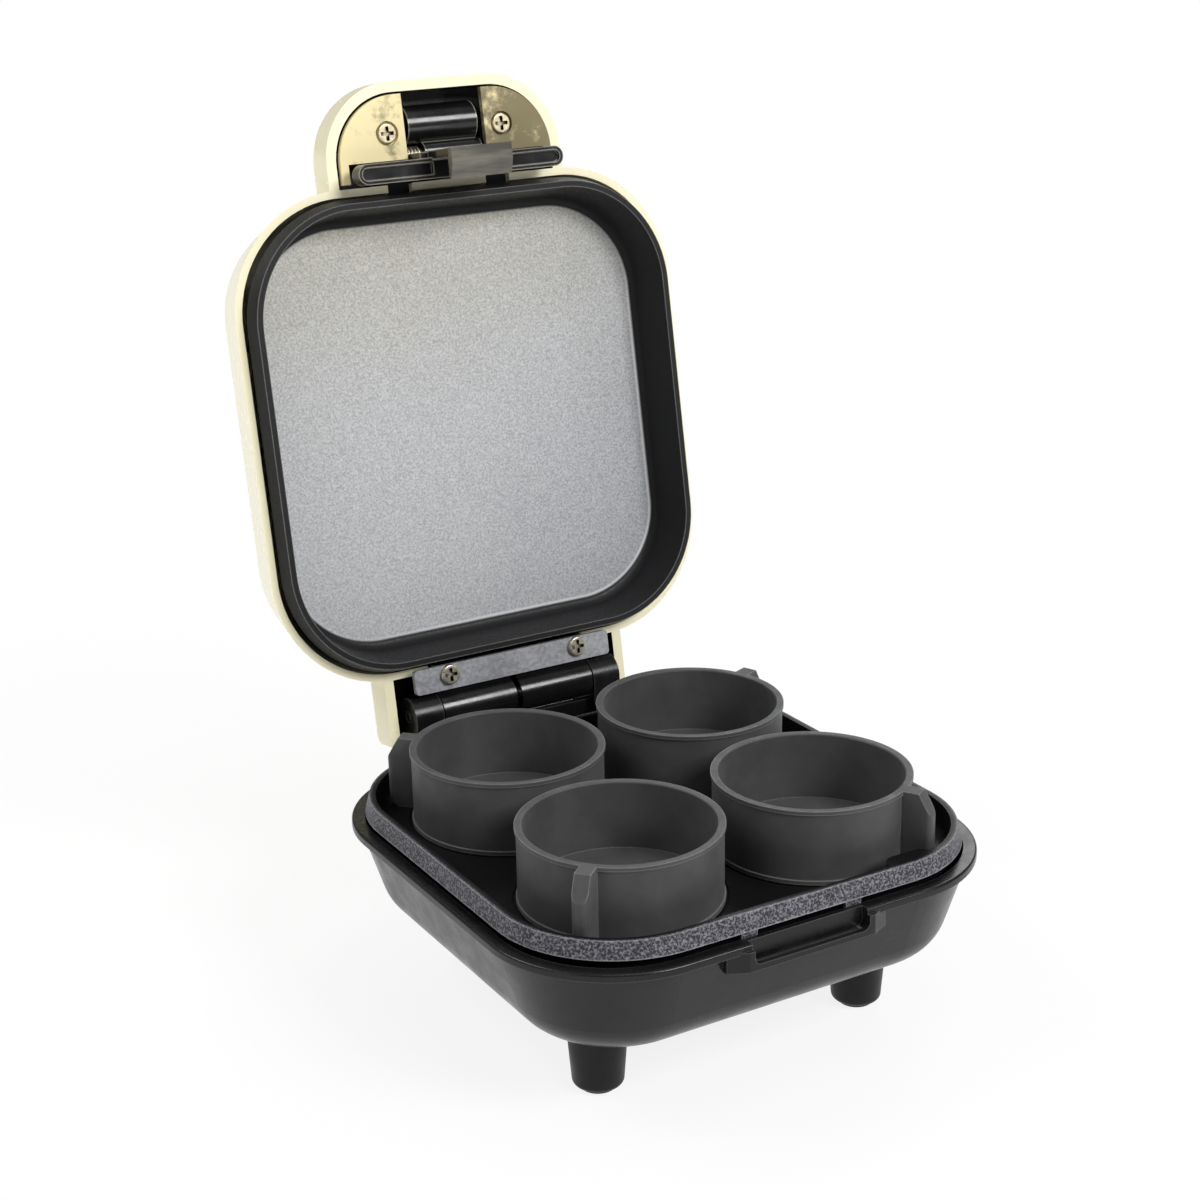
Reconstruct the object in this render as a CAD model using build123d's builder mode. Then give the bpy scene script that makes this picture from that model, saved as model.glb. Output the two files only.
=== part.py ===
from build123d import *

import os
from math import cos, radians, sin, tan

# A countertop egg bite maker: a bowl-shaped base on four feet, a hinged lid, two
# cooking pans, four loose silicone cups and a sprung latch in the lid's handle.
# Everything is built with the lid shut, x across, -y to the front, z up from the
# table, and the lid's pieces are then turned about the hinge to the open rest pose.

os.makedirs("parts", exist_ok=True)

# ---- driving sizes, mm ------------------------------------------------------

# cups
cup_radius = 30.0
cup_wall = 1.9
cup_height = 23.0
cup_spacing = 6.4
cup_bead = 0.45
cup_bead_height = 1.2
cup_tab_length = 8.8
cup_tab_thickness = 4.8
cup_tab_rounding = 1.7
cup_tab_bevel_height = 7.0
cup_tab_bevel_depth = 4.0
cup_tab_foot = 3.0
cup_lift = 0.1
front_left_tab_angle = -138.0
front_right_tab_angle = -60.0
back_left_tab_angle = 134.0
back_right_tab_angle = 22.0

# pans
pan_side_room = 11.3
pan_corner = 36.3
pan_wall = 2.0
lower_pan_thickness = 5.0
upper_pan_thickness = 1.5
pan_draft = 10.0
pan_floor_round = 3.0
pan_lip_height = 5.2
pan_lip_flare = 15.0
lower_pan_depth = 8.0
upper_pan_room = 1.7
pan_gap = 0.4
pan_boss_radius = 4.6
lower_boss_height = 7.0
upper_boss_height = 10.0
side_screw_inset = 22.5
end_screw_inset = 20.5
pan_lug_x = 17.6
pan_lug_width = 5.2
pan_lug_height = 5.0
pan_lug_drop = 7.6
pan_lug_gap = 0.3
pan_ledge_inset = 34.0
pan_ledge_width = 12.0
pan_ledge_reach = 4.5
pan_ledge_height = 3.0
groove_gap = 0.2
groove_width = 0.8
groove_depth = 0.4

# feet
foot_height = 22.5
foot_top_radius = 9.2
foot_tip_radius = 7.5
foot_tip_round = 2.0
foot_side_inset = 28.5
foot_end_inset = 34.5
back_foot_side_inset = 36.0
back_foot_end_inset = 27.5
foot_peg_radius = 3.0
foot_peg_length = 5.0
pad_radius = 5.2
pad_thickness = 3.0
pad_proud = 1.0

# housing
housing_over_pan = 3.5
housing_corner_extra = 1.7
housing_height = 32.5
housing_wall = 2.4
housing_draft = 17.5
housing_round = 14.5
rim_flange = 1.6
rim_flange_thickness = 2.4
rim_flange_round = 0.8
rim_to_pan = 7.0
post_radius = 5.6
reflector_sheet = 0.8
reflector_overhang = 8.0

# front catch on the housing
catch_half_width = 21.2
catch_root_half_width = 27.0
catch_slot_half_width = 19.4
catch_reach = 1.2
catch_slot = 1.8
catch_lip = 1.9
catch_lip_drop = 5.9
catch_lip_height = 1.9
catch_cheek_drop = 1.7
catch_corner = 1.2
catch_mouth_round = 2.2

# hinge
hinge_behind_pan = 17.3
hinge_above_pan = 5.6
hinge_pin_radius = 1.75
hinge_pin_inset = 1.0
knuckle_radius = 6.3
knuckle_length = 27.0
knuckle_gap = 2.0
tower_gap = 0.5
tower_width = 10.0
tower_radius = 6.4
tower_root_drop = 19.0
tower_root_step = 4.0
tower_back_rise = 12.0
tower_front_rise = 5.0
tower_rim_drop = 0.3
trough_wall = 2.4
trough_gap = 0.6
stop_gap = 0.1
stop_height = 3.0
lid_open_angle = 100.0
running_fit = 0.05

# lid shell
shell_over_pan = 4.5
shell_corner_extra = 2.7
shell_rim_above_pan = 6.7
shell_height = 43.0
shell_wall = 2.4
shell_draft = 14.0
shell_round = 24.0
hood_half_width = 45.0
hood_wall = 3.4
hood_reach = 22.0
hood_root = 23.7
hood_height = 10.6
hood_roof = 2.6
hood_round = 3.0

# handle tab and cover, measured forward from the shell's front
tab_half_width = 42.0
tab_reach = 32.2
tab_root = 39.5
tab_corner = 25.0
tab_height = 15.0
tab_wall = 3.4
tab_roof = 2.6
tab_round = 6.0
cover_gap = 0.8
cover_thickness = 2.0
cover_proud = 1.5
cover_slot_reach = 7.5
cover_ear = 2.7
cover_recess = 1.4
window_half_width = 14.3
window_reach = 28.0
handle_screw_x = 20.5
handle_screw_reach = 16.0

# latch, measured forward from the shell's front
latch_pin_reach = 9.0
latch_pin_above_rim = 3.9
latch_pin_radius = 1.25
latch_pin_inset = 1.0
latch_half_width = 13.6
latch_hub_radius = 3.6
finger_half_width = 12.4
finger_radius = 6.5
finger_reach = 18.0
finger_above_rim = 5.9
finger_skin = 2.2
bar_half_length = 36.5
bar_depth = 6.5
bar_height = 5.2
bar_reach = 0.5
bar_above_catch = 4.3
bar_channel = 1.4
bar_rail = 1.3
tooth_half_width = 10.7
tooth_leg = 3.0
tooth_gap = 4.5
nose_height = 2.8
nose_reach = 6.6
nose_gap = 0.5
nose_bevel_reach = 4.6
nose_bevel_height = 2.0
saddle_gap = 0.8
saddle_width = 5.0
saddle_radius = 2.8
saddle_end = 0.6
spring_wire = 0.6
spring_turns = 4
spring_pitch = 1.2
spring_room = 0.3
spring_end_room = 0.6
spring_side_room = 0.2

# carrier and hinge plate in the lid, measured back from the shell's rear
carrier_sheet = 0.8
carrier_overhang = 8.0
carrier_strip = 7.4
carrier_strip_lap = 2.0
carrier_front_x = 17.6
carrier_slot_gap = 0.6
carrier_tab_end = 4.0
strip_shoulder_inset = 5.3
strip_knee_height = 12.0
strip_gap = 0.8
boss_above_rim = 2.1
hinge_boss_radius = 3.7
handle_boss_radius = 4.6
arm_thickness = 5.4
arm_overlap = 3.0
hinge_plate_half_width = 36.5
hinge_plate_lead = 2.6
hinge_plate_reach = 5.6
hinge_plate_thickness = 1.8
hinge_plate_corner = 1.2
hinge_screw_x = 24.0
hinge_screw_reach = 0.6

# heating elements
element_radius = 3.2
element_side_inset = 34.5
element_back_inset = 30.5
element_bend = 14.0
element_end_x = 20.0
ceramic_radius = 2.8
ceramic_length = 6.0
terminal_length = 8.0
terminal_width = 6.3
terminal_thickness = 0.8
terminal_window = 9.0
terminal_offset = 2.0

# electrics
thermostat_radius = 8.0
thermostat_cap = 4.0
thermostat_body_radius = 6.4
thermostat_body = 9.0
thermostat_tab_x = 4.6
thermostat_tab = 3.0
thermostat_room = 2.0
fuse_radius = 2.1
fuse_length = 14.0
fuse_x = 22.0
fuse_wire_radius = 0.6
fuse_wire = 5.0
lead_radius = 1.1
lead_bend = 3.5
lead_height = 2.2
lead_step = 4.0
lead_side = 6.0
lead_side_step = 9.0
lead_run = 27.0
lead_turn = 10.0
block_width = 24.0
block_depth = 10.0
block_height = 9.0
block_corner = 1.0
block_x = 20.5
block_inset = 22.5
block_screw_radius = 2.0
block_screw_depth = 2.7
gland_bore_radius = 3.4
gland_body_radius = 6.0
gland_body_length = 4.8
gland_flange_radius = 8.6
gland_flange = 2.4
gland_flange_round = 1.0
gland_boss_radius = 10.0
gland_boss_reach = 3.0
gland_height = 35.0
lens_radius = 4.0
lens_wall = 0.8
lens_round = 0.7
lens_flange = 1.5
lens_flange_thickness = 1.2
lens_proud = 0.8
lens_depth = 10.0
lens_y = 40.0
lamp_length = 8.0
lamp_round = 1.3

# screws
screw_radius = 1.9
screw_head_radius = 3.5
screw_head_height = 2.2
screw_hole_gap = 0.15
screw_end_gap = 1.0
screw_recess_radius = 4.2
screw_recess_depth = 3.6
small_screw_radius = 1.5
small_head_radius = 3.3
small_head_height = 1.5
hinge_screw_length = 11.0
handle_screw_length = 8.8
small_recess_gap = 0.6
boss_hole_depth = 7.0
drive_width = 1.15
drive_depth = 1.1
drive_span_share = 1.35
head_round_share = 0.35
face_search = 0.1

# ---- sizes that follow ------------------------------------------------------

cup_pitch = 2 * cup_radius + cup_spacing
pan_width = cup_pitch + 2 * cup_radius + 2 * pan_side_room
pan_half = pan_width / 2
upper_pan_depth = cup_height + cup_lift - lower_pan_depth - pan_gap + upper_pan_room
housing_width = pan_width + 2 * housing_over_pan
housing_corner = pan_corner + housing_corner_extra
housing_bottom = foot_height
housing_rim = housing_bottom + housing_height
lower_rim = housing_rim + rim_to_pan
upper_rim = lower_rim + pan_gap
lower_pan_floor = lower_rim - lower_pan_depth
lower_pan_under = lower_pan_floor - lower_pan_thickness
upper_pan_top = upper_rim + upper_pan_depth + upper_pan_thickness
post_top = lower_pan_under - lower_boss_height - reflector_sheet
pan_screw_x = pan_half - side_screw_inset
pan_screw_y = pan_half - end_screw_inset
pan_screw_places = [(pan_screw_x, 0), (-pan_screw_x, 0), (0, pan_screw_y), (0, -pan_screw_y)]
foot_x = pan_half - foot_side_inset
foot_y = pan_half - foot_end_inset
back_foot_x = pan_half - back_foot_side_inset
back_foot_y = pan_half - back_foot_end_inset
foot_places = {
    "front_left": (-foot_x, -foot_y),
    "front_right": (foot_x, -foot_y),
    "back_left": (-back_foot_x, back_foot_y),
    "back_right": (back_foot_x, back_foot_y),
}
screw_hole = screw_radius + screw_hole_gap
small_hole = small_screw_radius + screw_hole_gap
hinge_y = pan_half + hinge_behind_pan
hinge_z = lower_rim + hinge_above_pan
hinge_axis = Axis((0, hinge_y, hinge_z), (1, 0, 0))
tower_inner = knuckle_gap / 2 + knuckle_length + tower_gap
tower_outer = tower_inner + tower_width
shell_width = pan_width + 2 * shell_over_pan
shell_corner = pan_corner + shell_corner_extra
shell_back = shell_width / 2
shell_rim = upper_rim + shell_rim_above_pan
shell_top = shell_rim + shell_height
boss_floor = shell_rim + boss_above_rim
hood_back = shell_back + hood_reach
tab_front = shell_back + tab_reach
tab_top = shell_rim + tab_height
handle_screw_y = shell_back + handle_screw_reach
handle_screw_places = [(handle_screw_x, -handle_screw_y), (-handle_screw_x, -handle_screw_y)]
hinge_screw_y = shell_back + hinge_screw_reach
hinge_screw_places = [(hinge_screw_x, hinge_screw_y), (-hinge_screw_x, hinge_screw_y)]
hinge_plate_front = shell_back - hinge_plate_lead
hinge_plate_back = shell_back + hinge_plate_reach
latch_pin_y = shell_back + latch_pin_reach
latch_pin_z = shell_rim + latch_pin_above_rim
finger_y = shell_back + finger_reach
finger_z = shell_rim + finger_above_rim
bar_back = shell_back + bar_reach
element_side = pan_half - element_side_inset
element_back = pan_half - element_back_inset
block_y = pan_half - block_inset
carrier_bottom = upper_pan_top + upper_boss_height
carrier_tab_z = boss_floor - carrier_sheet
saddle_inner = latch_half_width + saddle_gap

# where the inner edge of the hood's tail lands on the towers with the lid fully open
open_turn = radians(lid_open_angle)
hood_under = shell_rim + hood_height - hood_roof - hinge_z
hood_tail = hood_back - hinge_y
stop_y = hinge_y + hood_tail * cos(open_turn) + hood_under * sin(open_turn) - stop_gap
stop_z = hinge_z - hood_tail * sin(open_turn) + hood_under * cos(open_turn)
stop_lean = tan(open_turn - radians(90))


def housing_half(height):
    """Half the housing's outer width at a height above the table."""
    return housing_width / 2 - (housing_rim - height) * tan(radians(housing_draft))


def screws(places, head_z, out, radius, head_radius, head_height, length):
    """Screws whose heads seat at head_z; out is +1 where the heads point up, -1 where down."""
    with BuildPart() as group:
        for x, y in places:
            seat = Plane(origin=(x, y, head_z), x_dir=(1, 0, 0), z_dir=(0, 0, out))
            with BuildSketch(seat):
                Circle(head_radius)
            extrude(amount=head_height)
            with BuildSketch(seat):
                Circle(radius)
            extrude(amount=-length)
            with BuildSketch(seat.offset(head_height)):
                Rectangle(head_radius * drive_span_share, drive_width)
                Rectangle(drive_width, head_radius * drive_span_share)
            extrude(amount=-drive_depth, mode=Mode.SUBTRACT)
        crowns = group.faces().filter_by(Plane.XY).group_by(Axis.Z)[-1 if out > 0 else 0]
        fillet(crowns.edges().filter_by(GeomType.CIRCLE), radius=head_height * head_round_share)
    return group.part


# ---- pans -------------------------------------------------------------------


def make_pan(depth, thickness, boss_height, rim_z, away):
    """A drafted dish with a turned-down lip; away is the way its floor lies from its rim."""
    rim_plane = Plane(origin=(0, 0, rim_z), x_dir=(1, 0, 0), z_dir=(0, 0, away))
    floor_z = rim_z + away * depth
    under_z = floor_z + away * thickness
    with BuildPart() as pan:
        with BuildSketch(rim_plane):
            RectangleRounded(pan_width, pan_width, pan_corner)
        extrude(amount=depth + thickness, taper=pan_draft)
        flats = pan.faces().filter_by(Plane.XY)
        under = flats.filter_by_position(Axis.Z, under_z - face_search, under_z + face_search)
        fillet(under.edges(), radius=pan_floor_round + pan_wall)
        with BuildSketch(rim_plane):
            RectangleRounded(pan_width, pan_width, pan_corner)
        extrude(amount=pan_lip_height, taper=-pan_lip_flare)
        with BuildSketch(rim_plane):
            inner = pan_width - 2 * pan_wall
            RectangleRounded(inner, inner, pan_corner - pan_wall)
        extrude(amount=depth, taper=pan_draft, mode=Mode.SUBTRACT)
        flats = pan.faces().filter_by(Plane.XY)
        floor = flats.filter_by_position(Axis.Z, floor_z - face_search, floor_z + face_search)
        fillet(floor.edges(), radius=pan_floor_round)
        with BuildSketch(rim_plane.offset(depth + thickness)):
            with Locations(*pan_screw_places):
                Circle(pan_boss_radius)
        extrude(amount=boss_height)
        with BuildSketch(rim_plane.offset(depth + thickness)):
            with Locations(*pan_screw_places):
                Circle(screw_hole)
        extrude(amount=boss_height, mode=Mode.SUBTRACT)
    return pan.part


plain_lower_pan = make_pan(lower_pan_depth, lower_pan_thickness, lower_boss_height, lower_rim, -1)
pan_inner_half = pan_half - pan_wall

with BuildPart() as lower_pan:
    add(plain_lower_pan)
    # lugs that centre the pan inside the housing's front wall
    with BuildSketch(Plane.XY.offset(lower_rim - pan_lug_drop)):
        lug_front = housing_width / 2 - housing_wall - pan_lug_gap
        lug_back = pan_inner_half
        with Locations(
            (pan_lug_x, -(lug_front + lug_back) / 2),
            (-pan_lug_x, -(lug_front + lug_back) / 2),
        ):
            Rectangle(pan_lug_width, lug_front - lug_back)
    extrude(amount=pan_lug_height)
    # small ledge just inside the front rim
    with BuildPart(mode=Mode.PRIVATE) as ledge:
        with BuildSketch(Plane.XY.offset(lower_rim)):
            with Locations((pan_half - pan_ledge_inset, -pan_inner_half)):
                SlotOverall(pan_ledge_width + pan_ledge_reach, 2 * pan_ledge_reach)
        extrude(amount=-pan_ledge_height)
        split(bisect_by=Plane.XZ.offset(pan_inner_half + pan_wall / 2), keep=Keep.BOTTOM)
    add(ledge.part)
    # shallow grooves that mark where the cups stand
    with BuildSketch(Plane.XY.offset(lower_pan_floor)):
        with GridLocations(cup_pitch, cup_pitch, 2, 2):
            Circle(cup_radius + groove_gap + groove_width)
            Circle(cup_radius + groove_gap, mode=Mode.SUBTRACT)
    extrude(amount=-groove_depth, mode=Mode.SUBTRACT)
upper_pan = make_pan(upper_pan_depth, upper_pan_thickness, upper_boss_height, upper_rim, 1)


# ---- heating elements -------------------------------------------------------


def make_element(height):
    """A bent tube heater that runs once round the pan, with its two ends at the back."""
    with BuildPart() as element:
        with BuildLine(Plane.XY.offset(height)) as run:
            FilletPolyline(
                (-element_end_x, element_back),
                (-element_side, element_back),
                (-element_side, -element_side),
                (element_side, -element_side),
                (element_side, element_back),
                (element_end_x, element_back),
                radius=element_bend,
            )
        with BuildSketch(Plane(origin=run.line @ 0, z_dir=run.line % 0)):
            Circle(element_radius)
        sweep()
    return element.part


def make_terminals(height):
    """A ceramic collar and a flat terminal on each end of a heater, pointing inward."""
    with BuildPart() as terminals:
        for side in (-1, 1):
            end = Plane(
                origin=(side * element_end_x, element_back, height),
                x_dir=(0, 1, 0),
                z_dir=(-side, 0, 0),
            )
            with BuildSketch(end):
                Circle(ceramic_radius)
            extrude(amount=ceramic_length)
            with BuildSketch(end.offset(ceramic_length)):
                Rectangle(terminal_width, terminal_thickness)
            extrude(amount=terminal_length)
    return terminals.part


lower_element_z = lower_pan_under - element_radius
upper_element_z = upper_pan_top + element_radius
lower_element = make_element(lower_element_z)
upper_element = make_element(upper_element_z)
lower_terminals = make_terminals(lower_element_z)
upper_terminals = make_terminals(upper_element_z)

# ---- base housing -----------------------------------------------------------

catch_front = housing_half(housing_rim) + rim_flange + catch_reach
catch_back = catch_front - catch_lip
catch_top = housing_rim - catch_cheek_drop
catch_lip_top = housing_rim - catch_lip_drop
catch_lip_bottom = catch_lip_top - catch_lip_height
gland_face = housing_half(gland_height) + gland_boss_reach
trough_root = housing_half(housing_rim) - housing_wall / 2
trough_back = hinge_y - trough_gap
trough_floor = housing_rim - tower_rim_drop
trough_top = hinge_z - knuckle_radius - trough_gap

with BuildPart() as base_housing:
    with BuildSketch(Plane.XY.offset(housing_rim)):
        RectangleRounded(housing_width, housing_width, housing_corner)
    extrude(amount=-housing_height, taper=housing_draft)
    fillet(base_housing.faces().sort_by(Axis.Z)[0].edges(), radius=housing_round)
    # flange round the rim
    with BuildSketch(Plane.XY.offset(housing_rim)):
        flange_width = housing_width + 2 * rim_flange
        RectangleRounded(flange_width, flange_width, housing_corner + rim_flange)
    extrude(amount=-rim_flange_thickness)
    flange_edges = base_housing.faces().sort_by(Axis.Z)[-1].edges()
    fillet(flange_edges, radius=rim_flange_round)
    # catch block, wider at its root, and boss for the cord gland
    with BuildSketch(Plane.XY.offset(catch_lip_bottom)) as catch_outline:
        with BuildLine():
            Polyline(
                (-catch_root_half_width, -housing_half(catch_lip_bottom) + housing_wall / 2),
                (-catch_root_half_width, -housing_half(housing_rim)),
                (-catch_half_width, -catch_front),
                (catch_half_width, -catch_front),
                (catch_root_half_width, -housing_half(housing_rim)),
                (catch_root_half_width, -housing_half(catch_lip_bottom) + housing_wall / 2),
                close=True,
            )
        make_face()
        fillet(catch_outline.vertices().sort_by(Axis.Y)[:2], radius=catch_corner)
    extrude(amount=catch_top - catch_lip_bottom)
    with BuildSketch(Plane.XZ.offset(-gland_face)):
        with Locations((0, gland_height)):
            Circle(gland_boss_radius)
    extrude(amount=gland_boss_reach + 3 * housing_wall)
    # hollow of the bowl
    with BuildPart(mode=Mode.PRIVATE) as bowl:
        with BuildSketch(Plane.XY.offset(housing_rim)):
            bowl_width = housing_width - 2 * housing_wall
            RectangleRounded(bowl_width, bowl_width, housing_corner - housing_wall)
        extrude(amount=-(housing_height - housing_wall), taper=housing_draft)
        fillet(bowl.faces().sort_by(Axis.Z)[0].edges(), radius=housing_round - housing_wall)
    add(bowl.part, mode=Mode.SUBTRACT)
    # mouth of the catch: a low front lip with a slot behind it
    with BuildSketch(Plane.XZ.offset(catch_back - catch_slot)) as mouth:
        mouth_top = housing_rim + rim_flange_thickness
        with Locations((0, (catch_lip_top + mouth_top) / 2)):
            Rectangle(2 * catch_slot_half_width, mouth_top - catch_lip_top)
        fillet(mouth.vertices().group_by(Axis.Z)[0], radius=catch_mouth_round)
    extrude(amount=catch_slot + 2 * catch_lip, mode=Mode.SUBTRACT)
    with BuildSketch(Plane.XY.offset(catch_lip_bottom)):
        with Locations((0, -catch_back + catch_slot / 2)):
            Rectangle(2 * catch_slot_half_width, catch_slot)
    extrude(amount=catch_lip_height, mode=Mode.SUBTRACT)
    # hinge towers behind the back wall
    for side in (-1, 1):
        with BuildSketch(Plane.YZ.offset(side * (tower_inner + tower_width / 2))):
            with BuildLine():
                root = housing_rim - tower_root_drop
                back = hinge_y + tower_radius
                front = hinge_y - tower_radius
                Polyline(
                    (front, hinge_z),
                    (front, housing_rim + tower_front_rise),
                    (housing_half(housing_rim) + rim_flange, housing_rim - tower_rim_drop),
                    (housing_half(housing_rim) - housing_wall / 2, housing_rim - tower_rim_drop),
                    (housing_half(root) - housing_wall / 2, root),
                    (housing_half(root) + tower_root_step, root),
                    (back, root + tower_back_rise),
                    (back, stop_z - stop_height),
                    (stop_y - stop_height * stop_lean / 2, stop_z - stop_height / 2),
                    (stop_y + stop_height * stop_lean / 2, stop_z + stop_height / 2),
                    (back, stop_z + stop_height),
                    (back, hinge_z),
                )
                ThreePointArc(
                    (back, hinge_z),
                    (hinge_y, hinge_z + tower_radius),
                    (front, hinge_z),
                )
            make_face()
        extrude(amount=tower_width / 2, both=True)
    # trough that joins the towers under the knuckles
    with BuildSketch(Plane.YZ.offset(-tower_inner - tower_width / 2)):
        with BuildLine():
            Polyline(
                (trough_root, trough_floor - trough_wall),
                (trough_back, trough_floor - trough_wall),
                (trough_back, trough_top),
                (trough_back - trough_wall, trough_top),
                (trough_back - trough_wall, trough_floor),
                (trough_root, trough_floor),
                close=True,
            )
        make_face()
    extrude(amount=2 * tower_inner + tower_width)
    with BuildSketch(Plane.YZ):
        with Locations((hinge_y, hinge_z)):
            Circle(hinge_pin_radius + running_fit)
    extrude(amount=tower_outer + hinge_pin_inset, both=True, mode=Mode.SUBTRACT)
    # posts that carry the lower pan, open below for their screws
    with BuildSketch(Plane.XY.offset(housing_bottom)):
        with Locations(*pan_screw_places):
            Circle(post_radius)
    extrude(amount=post_top - housing_bottom)
    with BuildSketch(Plane.XY.offset(housing_bottom)):
        with Locations(*pan_screw_places):
            Circle(screw_hole)
    extrude(amount=post_top - housing_bottom, mode=Mode.SUBTRACT)
    with BuildSketch(Plane.XY.offset(housing_bottom)):
        with Locations(*pan_screw_places):
            Circle(screw_recess_radius)
    extrude(amount=screw_recess_depth, mode=Mode.SUBTRACT)
    # holes for the feet's pegs and the gland
    with BuildSketch(Plane.XY.offset(housing_bottom)):
        with Locations(*foot_places.values()):
            Circle(foot_peg_radius + running_fit)
    extrude(amount=housing_wall, mode=Mode.SUBTRACT)
    with BuildSketch(Plane.XZ.offset(-gland_face)):
        with Locations((0, gland_height)):
            Circle(gland_body_radius + running_fit)
    extrude(amount=gland_boss_reach + 3 * housing_wall, mode=Mode.SUBTRACT)

# ---- feet -------------------------------------------------------------------


def make_foot(x, y):
    """A tapered foot with a peg on top and a recess for its pad below."""
    with BuildPart() as foot:
        with BuildSketch(Plane(origin=(x, y, 0), x_dir=(1, 0, 0), z_dir=(0, -1, 0))):
            with BuildLine():
                Polyline(
                    (0, pad_proud),
                    (foot_tip_radius, pad_proud),
                    (foot_top_radius, foot_height),
                    (foot_peg_radius, foot_height),
                    (foot_peg_radius, foot_height + foot_peg_length),
                    (0, foot_height + foot_peg_length),
                    close=True,
                )
            make_face()
        revolve(axis=Axis((x, y, 0), (0, 0, 1)))
        tip = foot.faces().sort_by(Axis.Z)[0]
        fillet(tip.edges(), radius=foot_tip_round)
        with BuildSketch(Plane(origin=(x, y, pad_proud))):
            Circle(pad_radius + running_fit)
        extrude(amount=pad_thickness - pad_proud, mode=Mode.SUBTRACT)
    return foot.part


def make_pad(x, y):
    """A rubber disc pressed into the end of a foot."""
    with BuildPart() as pad:
        with BuildSketch(Plane(origin=(x, y, 0))):
            Circle(pad_radius)
        extrude(amount=pad_thickness)
    return pad.part


feet = {f"foot_{place}": make_foot(*spot) for place, spot in foot_places.items()}
pads = {f"foot_pad_{place}": make_pad(*spot) for place, spot in foot_places.items()}

# ---- inside the base --------------------------------------------------------

with BuildPart() as lower_reflector:
    with BuildSketch(Plane.XY.offset(post_top)):
        reflector_width = 2 * (pan_screw_y + reflector_overhang)
        RectangleRounded(reflector_width, reflector_width, pan_corner - reflector_overhang)
        with Locations(*pan_screw_places):
            Circle(screw_hole, mode=Mode.SUBTRACT)
        Circle(thermostat_radius + thermostat_room, mode=Mode.SUBTRACT)
        with Locations((0, element_back - terminal_offset)):
            Rectangle(2 * (element_end_x - ceramic_length), terminal_window, mode=Mode.SUBTRACT)
    extrude(amount=reflector_sheet)

with BuildPart() as thermostat:
    with BuildSketch(Plane.XY.offset(lower_pan_under)):
        Circle(thermostat_radius)
    extrude(amount=-thermostat_cap)
    with BuildSketch(Plane.XY.offset(lower_pan_under - thermostat_cap)):
        Circle(thermostat_body_radius)
    extrude(amount=-thermostat_body)
    with BuildSketch(Plane.XY.offset(lower_pan_under - thermostat_cap - thermostat_body)):
        with Locations((thermostat_tab_x, 0), (-thermostat_tab_x, 0)):
            Rectangle(terminal_thickness, terminal_width)
    extrude(amount=-thermostat_tab)

with BuildPart() as thermal_fuse:
    with BuildSketch(Plane.XZ.offset(-fuse_length / 2)):
        with Locations((fuse_x, lower_pan_under - fuse_radius)):
            Circle(fuse_radius)
    extrude(amount=fuse_length)
    with BuildSketch(Plane.XZ.offset(-fuse_length / 2 - fuse_wire)):
        with Locations((fuse_x, lower_pan_under - fuse_radius)):
            Circle(fuse_wire_radius)
    extrude(amount=fuse_length + 2 * fuse_wire)

with BuildPart() as terminal_block:
    with BuildSketch(Plane.XY.offset(housing_bottom + housing_wall)):
        with Locations((block_x, block_y)):
            RectangleRounded(block_width, block_depth, block_corner)
    extrude(amount=block_height)
    top = terminal_block.faces().sort_by(Axis.Z)[-1]
    with BuildSketch(Plane(origin=top.center(), z_dir=(0, 0, 1))):
        with GridLocations(block_width / 3, block_depth, 3, 1):
            Circle(block_screw_radius)
    extrude(amount=-block_screw_depth, mode=Mode.SUBTRACT)

with BuildPart() as cord_gland:
    with BuildSketch(Plane.XZ.offset(-gland_face)):
        with Locations((0, gland_height)):
            Circle(gland_body_radius)
    extrude(amount=gland_boss_reach + gland_body_length)
    with BuildSketch(Plane.XZ.offset(-gland_face)):
        with Locations((0, gland_height)):
            Circle(gland_flange_radius)
    extrude(amount=-gland_flange)
    fillet(cord_gland.faces().sort_by(Axis.Y)[-1].edges(), radius=gland_flange_round)
    with BuildSketch(Plane.XZ.offset(-gland_face - gland_flange)):
        with Locations((0, gland_height)):
            Circle(gland_bore_radius)
    extrude(amount=gland_flange + gland_boss_reach + gland_body_length, mode=Mode.SUBTRACT)


def make_lead(*points):
    """An insulated lead along straight runs joined by arcs."""
    with BuildPart() as lead:
        with BuildLine() as run:
            FilletPolyline(*points, radius=lead_bend)
        with BuildSketch(Plane(origin=run.line @ 0, z_dir=run.line % 0)):
            Circle(lead_radius)
        sweep()
    return lead.part


block_front = block_y - block_depth / 2
near_x = block_x - lead_side
far_x = near_x + lead_side_step
low_z = housing_bottom + housing_wall + lead_height
high_z = low_z + lead_step
tab_end_z = lower_pan_under - thermostat_cap - thermostat_body - thermostat_tab
terminal_under = lower_element_z - terminal_thickness / 2
terminal_x = element_end_x - ceramic_length - terminal_length / 2
terminal_y = element_back - terminal_offset
turn_y = element_back - lead_turn
lead_to_thermostat = make_lead(
    (near_x, block_front, low_z),
    (near_x, block_front - lead_run, low_z),
    (thermostat_tab_x, 0, low_z),
    (thermostat_tab_x, 0, tab_end_z),
)
lead_thermostat_to_heater = make_lead(
    (-thermostat_tab_x, 0, tab_end_z),
    (-thermostat_tab_x, 0, low_z),
    (-terminal_x, terminal_y, low_z),
    (-terminal_x, terminal_y, terminal_under),
)
lead_block_to_heater = make_lead(
    (far_x, block_front, high_z),
    (far_x, turn_y, high_z),
    (terminal_x, turn_y, high_z),
    (terminal_x, terminal_y, high_z),
    (terminal_x, terminal_y, terminal_under),
)

lower_pan_screws = screws(
    pan_screw_places,
    housing_bottom + screw_recess_depth,
    -1,
    screw_radius,
    screw_head_radius,
    screw_head_height,
    lower_pan_under - housing_bottom - screw_recess_depth - screw_end_gap,
)

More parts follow.
